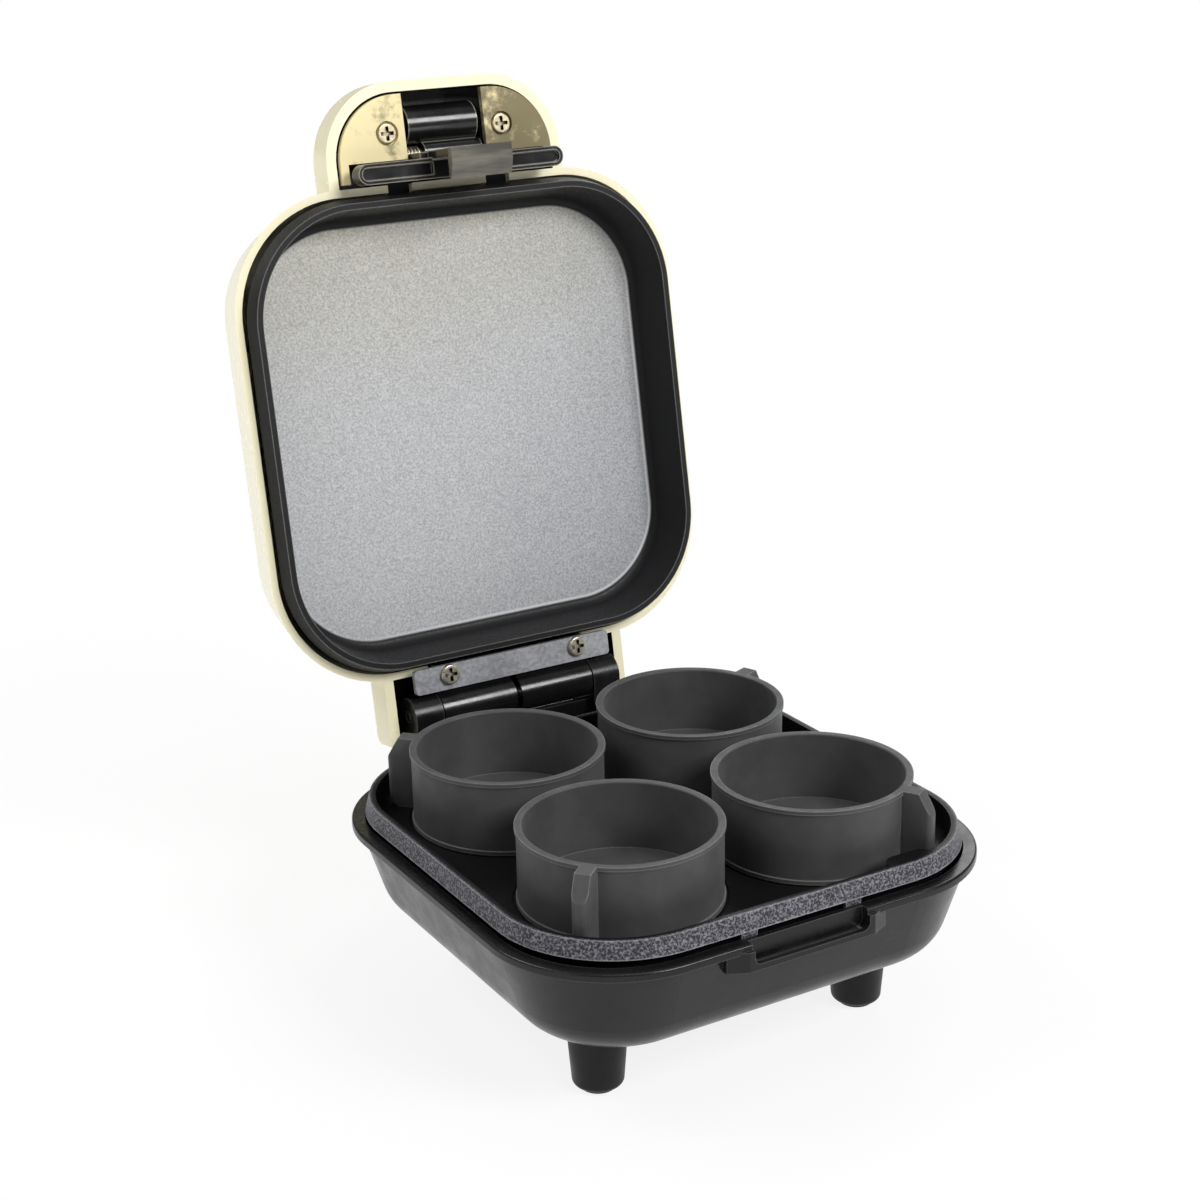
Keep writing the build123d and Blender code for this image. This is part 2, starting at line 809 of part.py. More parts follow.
with BuildPart() as hinge_pin:
    with BuildSketch(Plane.YZ.offset(-tower_outer + hinge_pin_inset)):
        with Locations((hinge_y, hinge_z)):
            Circle(hinge_pin_radius)
    extrude(amount=2 * (tower_outer - hinge_pin_inset))

# ---- cups -------------------------------------------------------------------


def make_cup(x, y, tab_angle):
    """A straight-walled cup with a beaded rim and one radial fin to lift it by."""
    angle = radians(tab_angle)
    outward = Vector(cos(angle), sin(angle), 0)
    base = Vector(x, y, lower_pan_floor + cup_lift)
    foot = Plane(origin=base, x_dir=outward, z_dir=(0, 0, 1))
    fin = Plane(origin=base, x_dir=outward, z_dir=outward.cross(Vector(0, 0, 1)))
    with BuildPart() as cup:
        with BuildSketch(foot):
            Circle(cup_radius - cup_bead)
        extrude(amount=cup_height)
        with BuildSketch(foot.offset(cup_height - cup_bead_height)):
            Circle(cup_radius)
        extrude(amount=cup_bead_height)
        with BuildSketch(foot):
            Circle(cup_radius)
        extrude(amount=cup_bead_height)
        with BuildSketch(fin):
            with BuildLine():
                reach = cup_radius + cup_tab_length
                Polyline(
                    (cup_radius - cup_wall, 0),
                    (reach - cup_tab_foot, 0),
                    (reach, cup_tab_foot),
                    (reach, cup_height - cup_tab_bevel_height),
                    (reach - cup_tab_bevel_depth, cup_height),
                    (cup_radius - cup_wall, cup_height),
                    close=True,
                )
            make_face()
        extrude(amount=cup_tab_thickness / 2, both=True)
        outer_end = cup.faces().filter_by(GeomType.PLANE).sort_by(Axis(base, outward))[-1]
        fillet(outer_end.edges().filter_by(Axis.Z), radius=cup_tab_rounding)
        with BuildSketch(foot.offset(cup_wall)):
            Circle(cup_radius - cup_bead - cup_wall)
        extrude(amount=cup_height, mode=Mode.SUBTRACT)
        rim = cup.faces().filter_by(Plane.XY).sort_by(Axis.Z)[-1]
        fillet(rim.edges().filter_by(GeomType.CIRCLE).sort_by(SortBy.RADIUS)[0], radius=cup_bead)
    return cup.part


cup_x = cup_pitch / 2
cups = {
    "cup_front_left": make_cup(-cup_x, -cup_x, front_left_tab_angle),
    "cup_front_right": make_cup(cup_x, -cup_x, front_right_tab_angle),
    "cup_back_left": make_cup(-cup_x, cup_x, back_left_tab_angle),
    "cup_back_right": make_cup(cup_x, cup_x, back_right_tab_angle),
}

# ---- lid shell --------------------------------------------------------------


def dome(width, corner, height, rounding):
    """A drafted, round-topped block standing on the shell's rim plane."""
    with BuildPart() as block:
        with BuildSketch(Plane.XY.offset(shell_rim)):
            RectangleRounded(width, width, corner)
        extrude(amount=height, taper=shell_draft)
        fillet(block.faces().sort_by(Axis.Z)[-1].edges(), radius=rounding)
    return block.part


def handle_block(inset, height, back):
    """The half-round handle tab, drawn in all round by inset."""
    with BuildPart() as block:
        with BuildSketch(Plane.XY.offset(shell_rim)):
            with BuildLine():
                side = tab_half_width - inset
                front = -tab_front + inset
                corner = tab_corner - inset
                FilletPolyline(
                    (-side, back),
                    (-side, front),
                    (side, front),
                    (side, back),
                    radius=corner,
                )
                Line((side, back), (-side, back))
            make_face()
        extrude(amount=height)
    return block.part


outer_dome = dome(shell_width, shell_corner, shell_height, shell_round)
inner_dome = dome(
    shell_width - 2 * shell_wall,
    shell_corner - shell_wall,
    shell_height - shell_wall,
    shell_round - shell_wall,
)
with BuildPart() as tab_block:
    add(handle_block(0, tab_height, tab_root - shell_back))
    tab_crown = tab_block.faces().sort_by(Axis.Z)[-1].edges()
    # all but the straight edge buried in the dome
    fillet(tab_crown.sort_by(Axis.Y)[:-1], radius=tab_round)

with BuildPart() as lid_shell:
    add(outer_dome)
    add(tab_block.part)
    # hood over the hinge
    with BuildSketch(Plane.XY.offset(shell_rim)):
        with Locations((0, (hood_back + shell_back - hood_root) / 2)):
            Rectangle(2 * hood_half_width, hood_back - shell_back + hood_root)
    extrude(amount=hood_height)
    hood_edges = lid_shell.faces().sort_by(Axis.Y)[-1].edges()
    fillet(hood_edges.sort_by(Axis.Z)[-1], radius=hood_round)
    add(inner_dome, mode=Mode.SUBTRACT)
    add(handle_block(tab_wall, tab_height - tab_roof, -shell_back), mode=Mode.SUBTRACT)
    with BuildSketch(Plane.XY.offset(shell_rim)):
        with Locations((0, (shell_back + hood_back + hood_wall) / 2)):
            Rectangle(2 * (hood_half_width - hood_wall), hood_back - shell_back + hood_wall)
    extrude(amount=hood_height - hood_roof, mode=Mode.SUBTRACT)
    # bosses for the handle and hinge screws
    with BuildSketch(Plane.XY.offset(boss_floor)):
        with Locations(*handle_screw_places):
            Circle(handle_boss_radius)
    extrude(amount=tab_top - tab_roof - boss_floor)
    with BuildSketch(Plane.XY.offset(boss_floor)):
        with Locations(*hinge_screw_places):
            Circle(hinge_boss_radius)
    extrude(amount=hood_height - hood_roof / 2 - boss_above_rim)
    with BuildSketch(Plane.XY.offset(boss_floor)):
        with Locations(*handle_screw_places, *hinge_screw_places):
            Circle(small_hole)
    extrude(amount=boss_hole_depth, mode=Mode.SUBTRACT)
    # saddles for the latch pin
    for side in (-1, 1):
        with BuildSketch(Plane.YZ.offset(side * (saddle_inner + saddle_width / 2))):
            with Locations((-latch_pin_y, latch_pin_z)):
                Circle(saddle_radius)
            with Locations((-latch_pin_y, (latch_pin_z + tab_top) / 2)):
                Rectangle(2 * saddle_radius, tab_top - latch_pin_z - tab_roof)
            with Locations((-latch_pin_y, boss_floor - saddle_radius)):
                Rectangle(2 * saddle_radius, 2 * saddle_radius, mode=Mode.SUBTRACT)
        extrude(amount=saddle_width / 2, both=True)
    with BuildSketch(Plane.YZ):
        with Locations((-latch_pin_y, latch_pin_z)):
            Circle(latch_pin_radius + running_fit)
    extrude(amount=saddle_inner + saddle_width - saddle_end, both=True, mode=Mode.SUBTRACT)
    # notches in the rim where the carrier's strips and the hinge arm pass
    with BuildSketch(Plane.XY.offset(shell_rim)):
        notch = carrier_strip + 2 * carrier_slot_gap
        with Locations((carrier_front_x, -shell_back), (-carrier_front_x, -shell_back)):
            Rectangle(notch, 4 * shell_wall)
        with Locations((0, shell_back)):
            Rectangle(2 * knuckle_length + knuckle_gap + 2 * carrier_slot_gap, 4 * shell_wall)
    extrude(amount=boss_above_rim, mode=Mode.SUBTRACT)
    # hole for the indicator
    with BuildSketch(Plane.XY.offset(shell_top)):
        with Locations((0, -lens_y)):
            Circle(lens_radius + running_fit)
    extrude(amount=-2 * shell_wall, mode=Mode.SUBTRACT)

# ---- hinge pieces on the lid ------------------------------------------------

arm_bottom = carrier_tab_z - arm_thickness
plate_bottom = arm_bottom - hinge_plate_thickness

with BuildPart() as hinge_knuckles:
    with BuildSketch(Plane.YZ.offset(-knuckle_gap / 2 - knuckle_length)):
        with Locations((hinge_y, hinge_z)):
            Circle(knuckle_radius)
    extrude(amount=2 * knuckle_length + knuckle_gap)
    with BuildSketch(Plane.XY.offset(arm_bottom)):
        arm_end = hinge_y - arm_overlap
        with Locations((0, (hinge_plate_front + arm_end) / 2)):
            Rectangle(2 * knuckle_length + knuckle_gap, arm_end - hinge_plate_front)
    extrude(amount=arm_thickness)
    with BuildSketch(Plane.XY.offset(hinge_z - 2 * knuckle_radius)):
        with Locations((0, hinge_y)):
            Rectangle(knuckle_gap, 2 * knuckle_radius + knuckle_gap)
    extrude(amount=4 * knuckle_radius, mode=Mode.SUBTRACT)
    with BuildSketch(Plane.YZ.offset(-knuckle_gap / 2 - knuckle_length)):
        with Locations((hinge_y, hinge_z)):
            Circle(hinge_pin_radius + running_fit)
    extrude(amount=2 * knuckle_length + knuckle_gap, mode=Mode.SUBTRACT)
    with BuildSketch(Plane.XY.offset(arm_bottom)):
        with Locations(*hinge_screw_places):
            Circle(small_hole)
    extrude(amount=arm_thickness, mode=Mode.SUBTRACT)

with BuildPart() as hinge_plate:
    with BuildSketch(Plane.XY.offset(plate_bottom)):
        with Locations((0, (hinge_plate_front + hinge_plate_back) / 2)):
            plate_depth = hinge_plate_back - hinge_plate_front
            RectangleRounded(2 * hinge_plate_half_width, plate_depth, hinge_plate_corner)
        with Locations(*hinge_screw_places):
            Circle(small_hole, mode=Mode.SUBTRACT)
    extrude(amount=hinge_plate_thickness)

hinge_screws = screws(
    hinge_screw_places,
    plate_bottom,
    -1,
    small_screw_radius,
    small_head_radius,
    small_head_height,
    hinge_screw_length,
)

# ---- carrier that ties the upper pan to the shell ---------------------------

carrier_half = pan_screw_y + carrier_overhang
strip_shoulder = pan_half - strip_shoulder_inset
strip_knee_z = upper_rim + strip_knee_height
strip_knee = pan_half - strip_knee_height * tan(radians(pan_draft)) + strip_gap
strip_foot = pan_half - (carrier_tab_z - upper_rim) * tan(radians(pan_draft)) + strip_gap


def strip_outline(tab_y, toward):
    """Corners of one strip seen from the side: over the dish, down beside it, out to a screw."""
    run = [
        (carrier_half - carrier_strip_lap, carrier_bottom),
        (strip_shoulder, carrier_bottom),
        (strip_knee, strip_knee_z),
        (strip_foot, carrier_tab_z),
        (tab_y, carrier_tab_z),
    ]
    lower_side = [(toward * y, z) for y, z in run]
    upper_side = [
        (toward * (carrier_half - carrier_strip_lap), carrier_bottom + carrier_sheet),
        (toward * (strip_shoulder + carrier_sheet), carrier_bottom + carrier_sheet),
        (toward * (strip_knee + carrier_sheet), strip_knee_z),
        (toward * (strip_foot + carrier_sheet), carrier_tab_z + carrier_sheet),
        (toward * tab_y, carrier_tab_z + carrier_sheet),
    ]
    return lower_side + upper_side[::-1]


with BuildPart() as lid_carrier:
    with BuildSketch(Plane.XY.offset(carrier_bottom)):
        RectangleRounded(2 * carrier_half, 2 * carrier_half, pan_corner - carrier_overhang)
        with Locations(*pan_screw_places):
            Circle(screw_hole, mode=Mode.SUBTRACT)
    extrude(amount=carrier_sheet)
    for side in (-1, 1):
        with BuildSketch(Plane.YZ.offset(side * carrier_front_x)):
            with BuildLine():
                Polyline(*strip_outline(handle_screw_y + carrier_tab_end, -1), close=True)
            make_face()
        extrude(amount=carrier_strip / 2, both=True)
        with BuildSketch(Plane.YZ.offset(side * hinge_screw_x)):
            with BuildLine():
                Polyline(*strip_outline(hinge_screw_y + carrier_tab_end, 1), close=True)
            make_face()
        extrude(amount=carrier_strip / 2, both=True)
    with BuildSketch(Plane.XY.offset(carrier_tab_z)):
        with Locations(*handle_screw_places):
            Circle(handle_boss_radius)
    extrude(amount=carrier_sheet)
    with BuildSketch(Plane.XY.offset(carrier_tab_z)):
        with Locations(*handle_screw_places, *hinge_screw_places):
            Circle(small_hole)
    extrude(amount=carrier_sheet, mode=Mode.SUBTRACT)

upper_pan_screws = screws(
    pan_screw_places,
    carrier_bottom + carrier_sheet,
    1,
    screw_radius,
    screw_head_radius,
    screw_head_height,
    upper_boss_height,
)

# ---- handle cover -----------------------------------------------------------

cover_bottom = shell_rim - cover_proud
cover_top = cover_bottom + cover_thickness
cover_block = handle_block(tab_wall + cover_gap, cover_thickness, -bar_back - cover_gap)

with BuildPart() as handle_cover:
    add(cover_block.moved(Location((0, 0, -cover_proud))))
    # slot for the latch bar, between two ears, and window for the finger bar
    with BuildSketch(Plane.XY.offset(cover_bottom)):
        slot_front = shell_back + cover_slot_reach
        window_front = shell_back + window_reach
        with Locations((0, -slot_front / 2)):
            Rectangle(2 * (tab_half_width - tab_wall - cover_gap - cover_ear), slot_front)
        with Locations((0, -window_front / 2)):
            Rectangle(2 * window_half_width, window_front)
    extrude(amount=cover_thickness, mode=Mode.SUBTRACT)
    # collars that stand on the carrier's pads, and holes with head recesses
    with BuildSketch(Plane.XY.offset(cover_top)):
        with Locations(*handle_screw_places):
            Circle(handle_boss_radius)
    extrude(amount=carrier_tab_z - cover_top)
    with BuildSketch(Plane.XY.offset(cover_bottom)):
        with Locations(*handle_screw_places):
            Circle(small_hole)
    extrude(amount=carrier_tab_z - cover_bottom, mode=Mode.SUBTRACT)
    with BuildSketch(Plane.XY.offset(cover_bottom)):
        with Locations(*handle_screw_places):
            Circle(small_head_radius + small_recess_gap)
    extrude(amount=cover_recess, mode=Mode.SUBTRACT)

handle_screws = screws(
    handle_screw_places,
    cover_bottom + cover_recess,
    -1,
    small_screw_radius,
    small_head_radius,
    small_head_height,
    handle_screw_length,
)

# ---- latch ------------------------------------------------------------------

bar_bottom = catch_top + bar_above_catch
bar_top = bar_bottom + bar_height
tooth_back = catch_front + tooth_gap
tooth_front = tooth_back + tooth_leg
nose_top = catch_lip_bottom - nose_gap
nose_bottom = nose_top - nose_height
web_back = bar_back + bar_depth / 2
latch_spring_room = spring_turns * spring_pitch + 2 * spring_wire + spring_end_room

with BuildPart() as latch_lever:
    # hub round the pin
    with BuildSketch(Plane.YZ.offset(-latch_half_width)):
        with Locations((-latch_pin_y, latch_pin_z)):
            Circle(latch_hub_radius)
    extrude(amount=2 * latch_half_width)
    # finger bar: the lower half of a tube, closed at its ends
    with BuildSketch(Plane.YZ.offset(-finger_half_width)):
        with BuildLine():
            Line((-finger_y - finger_radius, finger_z), (-finger_y + finger_radius, finger_z))
            ThreePointArc(
                (-finger_y + finger_radius, finger_z),
                (-finger_y, finger_z - finger_radius),
                (-finger_y - finger_radius, finger_z),
            )
        make_face()
    extrude(amount=2 * finger_half_width)
    with BuildSketch(Plane.YZ.offset(-finger_half_width + finger_skin)):
        with BuildLine():
            hollow = finger_radius - finger_skin
            Line((-finger_y - hollow, finger_z), (-finger_y + hollow, finger_z))
            ThreePointArc(
                (-finger_y + hollow, finger_z),
                (-finger_y, finger_z - hollow),
                (-finger_y - hollow, finger_z),
            )
        make_face()
    extrude(amount=2 * (finger_half_width - finger_skin), mode=Mode.SUBTRACT)
    # web from the hub down to the bar
    with BuildSketch(Plane.XY.offset(bar_bottom + bar_height / 2)):
        with Locations((0, -(web_back + latch_pin_y) / 2)):
            Rectangle(2 * latch_half_width, latch_pin_y - web_back)
    extrude(amount=latch_pin_z - bar_bottom - bar_height / 2)
    # long latch bar with round ends, channelled on the face that looks at the base
    with BuildSketch(Plane.XY.offset(bar_bottom)):
        with Locations((0, -bar_back - bar_depth / 2)):
            SlotOverall(2 * bar_half_length, bar_depth)
    extrude(amount=bar_height)
    with BuildSketch(Plane.XY.offset(bar_bottom)):
        with Locations((0, -bar_back - bar_depth / 2)):
            SlotOverall(2 * (bar_half_length - bar_rail), bar_depth - 2 * bar_rail)
    extrude(amount=bar_channel, mode=Mode.SUBTRACT)
    # tooth: a leg in front of the catch's lip and a sloped nose under it
    with BuildSketch(Plane.YZ.offset(-tooth_half_width)):
        with BuildLine():
            Polyline(
                (-tooth_front, bar_top),
                (-tooth_front, nose_bottom),
                (-tooth_back + nose_reach - nose_bevel_reach, nose_bottom),
                (-tooth_back + nose_reach, nose_bottom + nose_bevel_height),
                (-tooth_back + nose_reach, nose_top),
                (-tooth_back, nose_top),
                (-tooth_back, bar_bottom),
                (-bar_back - bar_rail, bar_bottom),
                (-bar_back - bar_rail, bar_top),
                close=True,
            )
        make_face()
    extrude(amount=2 * tooth_half_width)
    # bore for the pin and room for the spring beside the hub
    with BuildSketch(Plane.YZ.offset(-latch_half_width)):
        with Locations((-latch_pin_y, latch_pin_z)):
            Circle(latch_pin_radius + running_fit)
    extrude(amount=2 * latch_half_width, mode=Mode.SUBTRACT)
    with BuildSketch(Plane.YZ.offset(-latch_half_width)):
        with Locations((-latch_pin_y, latch_pin_z)):
            Circle(latch_hub_radius + spring_side_room)
    extrude(amount=latch_spring_room, mode=Mode.SUBTRACT)

with BuildPart() as latch_pin:
    with BuildSketch(Plane.YZ.offset(-saddle_inner - saddle_width + latch_pin_inset)):
        with Locations((-latch_pin_y, latch_pin_z)):
            Circle(latch_pin_radius)
    extrude(amount=2 * (saddle_inner + saddle_width - latch_pin_inset))

spring_radius = latch_pin_radius + spring_wire + spring_room
spring_start = -latch_half_width + spring_wire


def coil_point(turns):
    """A point on the coil's middle line, so many turns from its start."""
    angle = radians(360 * turns)
    return Vector(
        spring_start + spring_pitch * turns,
        -latch_pin_y + spring_radius * cos(angle),
        latch_pin_z + spring_radius * sin(angle),
    )


quarter_turns = [i / 4 for i in range(4 * spring_turns)]
with BuildPart() as latch_spring:
    with BuildLine() as coil:
        for turn in quarter_turns:
            ThreePointArc(coil_point(turn), coil_point(turn + 1 / 8), coil_point(turn + 1 / 4))
    with BuildSketch(Plane(origin=coil.line @ 0, z_dir=coil.line % 0)):
        Circle(spring_wire / 2)
    sweep()

# least gap between two turns, measured on points at least half a turn apart
coil_gap = min(
    (coil_point(a / 24) - coil_point(b / 24)).length - spring_wire
    for a in range(24 * spring_turns)
    for b in range(a + 12, 24 * spring_turns)
)
print("latch spring: least gap to itself", round(coil_gap, 3), "mm")

# ---- indicator in the lid ---------------------------------------------------

with BuildPart() as indicator_lens:
    with BuildSketch(Plane.XY.offset(shell_top + lens_proud)):
        with Locations((0, -lens_y)):
            Circle(lens_radius)
    extrude(amount=-lens_depth)
    fillet(indicator_lens.faces().sort_by(Axis.Z)[-1].edges(), radius=lens_round)
    with BuildSketch(Plane.XY.offset(shell_top - shell_wall)):
        with Locations((0, -lens_y)):
            Circle(lens_radius + lens_flange)
    extrude(amount=-lens_flange_thickness)
    with BuildSketch(Plane.XY.offset(shell_top + lens_proud - lens_depth)):
        with Locations((0, -lens_y)):
            Circle(lens_radius - lens_wall)
    extrude(amount=lens_depth - 2 * lens_wall, mode=Mode.SUBTRACT)

with BuildPart() as indicator_lamp:
    with BuildSketch(Plane.XY.offset(shell_top + lens_proud - lens_depth)):
        with Locations((0, -lens_y)):
            Circle(lens_radius - lens_wall - running_fit)
    extrude(amount=lamp_length)
    fillet(indicator_lamp.faces().sort_by(Axis.Z)[-1].edges(), radius=lamp_round)

# ---- rest pose and files ----------------------------------------------------

base_pieces = {
    "base_housing": base_housing.part,
    "lower_pan": lower_pan.part,
    "lower_heater": lower_element,
    "lower_heater_terminals": lower_terminals,
    "lower_reflector": lower_reflector.part,
    "thermostat": thermostat.part,
    "thermal_fuse": thermal_fuse.part,
    "terminal_block": terminal_block.part,
    "cord_gland": cord_gland.part,
    "lower_pan_screws": lower_pan_screws,
    "hinge_pin": hinge_pin.part,
    **feet,
    **pads,
    "lead_to_thermostat": lead_to_thermostat,
    "lead_thermostat_to_heater": lead_thermostat_to_heater,
    "lead_block_to_heater": lead_block_to_heater,
    **cups,
}
lid_pieces = {
    "lid_shell": lid_shell.part,
    "upper_pan": upper_pan,
    "upper_heater": upper_element,
    "upper_heater_terminals": upper_terminals,
    "lid_carrier": lid_carrier.part,
    "upper_pan_screws": upper_pan_screws,
    "hinge_knuckles": hinge_knuckles.part,
    "hinge_plate": hinge_plate.part,
    "hinge_screws": hinge_screws,
    "handle_cover": handle_cover.part,
    "handle_screws": handle_screws,
    "latch_lever": latch_lever.part,
    "latch_pin": latch_pin.part,
    "latch_spring": latch_spring.part,
    "indicator_lens": indicator_lens.part,
    "indicator_lamp": indicator_lamp.part,
}
rest_pieces = dict(base_pieces)
for name, piece in lid_pieces.items():
    rest_pieces[name] = piece.rotate(hinge_axis, -lid_open_angle)

# the origin is the middle of the whole part's box, on the table, with the lid open
box = Compound(children=[piece.moved(Location()) for piece in rest_pieces.values()]).bounding_box()
shift = -(box.min.Y + box.max.Y) / 2
print("box", box.size, "shift", round(shift, 4))
for name, piece in rest_pieces.items():
    placed = piece.moved(Location((0, shift, 0)))
    placed.label = name
    export_step(placed, f"parts/{name}.step")
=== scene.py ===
import math

import bpy
from mathutils import Matrix, Vector


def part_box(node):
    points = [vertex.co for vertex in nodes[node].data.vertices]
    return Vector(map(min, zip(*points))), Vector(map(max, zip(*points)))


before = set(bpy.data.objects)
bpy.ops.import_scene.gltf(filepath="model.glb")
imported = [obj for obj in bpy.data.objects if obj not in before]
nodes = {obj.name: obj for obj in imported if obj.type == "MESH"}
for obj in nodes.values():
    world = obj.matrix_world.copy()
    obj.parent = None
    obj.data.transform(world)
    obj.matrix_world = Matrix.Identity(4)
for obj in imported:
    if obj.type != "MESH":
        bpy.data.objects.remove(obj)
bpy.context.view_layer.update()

# ---- places read from the frame, metres -------------------------------------

plate_low, plate_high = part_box("lower_reflector")
pin_low, pin_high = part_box("hinge_pin")
middle = (plate_low.y + plate_high.y) / 2  # the middle of the base from front to back
hinge_y = (pin_low.y + pin_high.y) / 2
hinge_z = (pin_low.z + pin_high.z) / 2
rim_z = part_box("lower_pan")[1].z

# sizes of the shut lid that the finishes follow
lid_open = math.radians(100.0)
pan_half = 0.0745
pan_corner = 0.0363
lid_pan_floor = rim_z + 0.0168
shell_rim = rim_z + 0.0071
shell_half = 0.0790
tab_half = 0.0420
tab_corner = 0.0250
tab_reach = 0.0322
tab_wall = 0.0034
pocket_depth = 0.0124
hood_half = 0.0416
hood_depth = 0.0080
# below this height the latch's nose carries a painted reflection
nose_reflection_below = rim_z - 0.0158
hood_inset = 0.0026  # the hood's space starts this far inside the shell's back
# the pale area on the lid pan's floor is a painted reflection
pale_half = 0.0684  # half width and half depth of the pale area on the lid pan's floor
pale_half_depth = 0.0668
pale_corner = 0.0302
pale_shift = 0.0005  # and how far it lies to the left
lip_low, lip_high = -0.0012, -0.0002  # the flecks start between these, from the pan's outline
skin = 0.0002  # painted areas reach this far past the faces that they cover
under_rim = 0.0001
soft_line = 0.00005  # half the width over which one painted area turns into the next

# how far the painted edge highlights reach in from an edge
fine_edge_highlight = 0.0006
wide_edge_highlight = 0.0007
latch_edge_highlight = 0.0008


# ---- node helpers -----------------------------------------------------------

class Finish:
    """A procedural material: one Principled shader fed by textures in the piece's own coordinates."""

    def __init__(self, name, **constants):
        self.material = bpy.data.materials.new(name)
        self.material.use_nodes = True
        self.tree = self.material.node_tree
        self.tree.nodes.clear()
        self.out = self.add("ShaderNodeOutputMaterial")
        self.shader = self.add("ShaderNodeBsdfPrincipled")
        self.link(self.shader.outputs[0], self.out.inputs[0])
        self.coords = self.add("ShaderNodeTexCoord").outputs["Object"]
        self.normal = None
        for key, value in constants.items():
            self.shader.inputs[key.replace("_", " ")].default_value = value

    def add(self, kind, **settings):
        node = self.tree.nodes.new(kind)
        for key, value in settings.items():
            setattr(node, key, value)
        return node

    def link(self, a, b):
        self.tree.links.new(a, b)

    def noise(self, scale, detail=3.0, rough=0.55, stretch=None):
        node = self.add("ShaderNodeTexNoise")
        node.inputs["Scale"].default_value = scale
        node.inputs["Detail"].default_value = detail
        node.inputs["Roughness"].default_value = rough
        source = self.coords
        if stretch:
            mapping = self.add("ShaderNodeMapping")
            mapping.inputs["Scale"].default_value = stretch
            self.link(source, mapping.inputs["Vector"])
            source = mapping.outputs[0]
        self.link(source, node.inputs["Vector"])
        return node.outputs["Fac"]

    def cells(self, scale):
        node = self.add("ShaderNodeTexVoronoi")
        node.inputs["Scale"].default_value = scale
        self.link(self.coords, node.inputs["Vector"])
        return node.outputs["Distance"]

    def spread(self, value, low, high, to_low=0.0, to_high=1.0):
        node = self.add("ShaderNodeMapRange", interpolation_type="SMOOTHSTEP")
        node.inputs["From Min"].default_value = low
        node.inputs["From Max"].default_value = high
        node.inputs["To Min"].default_value = to_low
        node.inputs["To Max"].default_value = to_high
        self.link(value, node.inputs["Value"])
        return node.outputs["Result"]

    def math(self, operation, *values):
        node = self.add("ShaderNodeMath", operation=operation)
        for socket, value in zip(node.inputs, values):
            if isinstance(value, (int, float)):
                socket.default_value = value
            else:
                self.link(value, socket)
        return node.outputs[0]

    def product(self, *values):
        made = values[0]
        for value in values[1:]:
            made = self.math("MULTIPLY", made, value)
        return made

    def blend(self, factor, a, b):
        node = self.add("ShaderNodeMix", data_type="RGBA")
        self.link(factor, node.inputs["Factor"])
        for socket, value in ((node.inputs[6], a), (node.inputs[7], b)):
            if isinstance(value, tuple):
                socket.default_value = (*value, 1.0)
            else:
                self.link(value, socket)
        return node.outputs[2]

    def along(self, direction, offset=0.0):
        """Distance of the point along a direction in the piece's own coordinates, in metres."""
        node = self.add("ShaderNodeVectorMath", operation="DOT_PRODUCT")
        self.link(self.coords, node.inputs[0])
        node.inputs[1].default_value = direction
        return self.math("ADD", node.outputs["Value"], offset)

    def shut_place(self):
        """The point's x, y and z with the lid shut, y measured from the middle of the base."""
        y = self.along(
            (0.0, math.cos(lid_open), -math.sin(lid_open)),
            hinge_y - middle - hinge_y * math.cos(lid_open) + hinge_z * math.sin(lid_open),
        )
        z = self.along(
            (0.0, math.sin(lid_open), math.cos(lid_open)),
            hinge_z - hinge_y * math.sin(lid_open) - hinge_z * math.cos(lid_open),
        )
        return self.along((1.0, 0.0, 0.0)), y, z

    def inside(self, value, limit):
        """1 where the value is under the limit, 0 above it, over a tenth of a millimetre."""
        return self.spread(value, limit - soft_line, limit + soft_line, 1.0, 0.0)

    def above(self, value, limit):
        """How far the value is over the limit, or 0."""
        return self.math("MAXIMUM", self.math("SUBTRACT", value, limit), 0.0)

    def length(self, a, b):
        return self.math("SQRT", self.math("ADD", self.product(a, a), self.product(b, b)))

    def outside_box(self, x, y, half, corner):
        """Distance outside a square with round corners, standing on the middle of the base."""
        over_x = self.above(self.math("ABSOLUTE", x), half - corner)
        over_y = self.above(self.math("ABSOLUTE", y), half - corner)
        return self.math("SUBTRACT", self.length(over_x, over_y), corner)

    def colour(self, value):
        self.link(value, self.shader.inputs["Base Color"])

    def rough(self, value):
        self.link(value, self.shader.inputs["Roughness"])

    def bump(self, height, distance, strength=1.0):
        node = self.add("ShaderNodeBump")
        node.inputs["Strength"].default_value = strength
        node.inputs["Distance"].default_value = distance
        self.link(height, node.inputs["Height"])
        if self.normal is not None:
            self.link(self.normal, node.inputs["Normal"])
        self.normal = node.outputs[0]
        self.link(self.normal, self.shader.inputs["Normal"])

    # used to paint highlights along edges
    def edge_highlight_mask(self, radius, low=0.0, high=1.0):
        """Near 1 on edges, by the difference between a rounded normal and the plain one."""
        bevel = self.add("ShaderNodeBevel", samples=4)
        bevel.inputs["Radius"].default_value = radius
        geo = self.add("ShaderNodeNewGeometry")
        node = self.add("ShaderNodeVectorMath", operation="DOT_PRODUCT")
        self.link(bevel.outputs[0], node.inputs[0])
        self.link(geo.outputs["Normal"], node.inputs[1])
        return self.spread(node.outputs["Value"], 1.0 - high, 1.0 - low, 1.0, 0.0)

    def hollow(self, distance):
        """Near 1 in narrow recesses of the piece itself, where shade is painted."""
        node = self.add("ShaderNodeAmbientOcclusion", samples=8, only_local=True)
        node.inputs["Distance"].default_value = distance
        return self.spread(node.outputs["AO"], 0.35, 0.85, 1.0, 0.0)


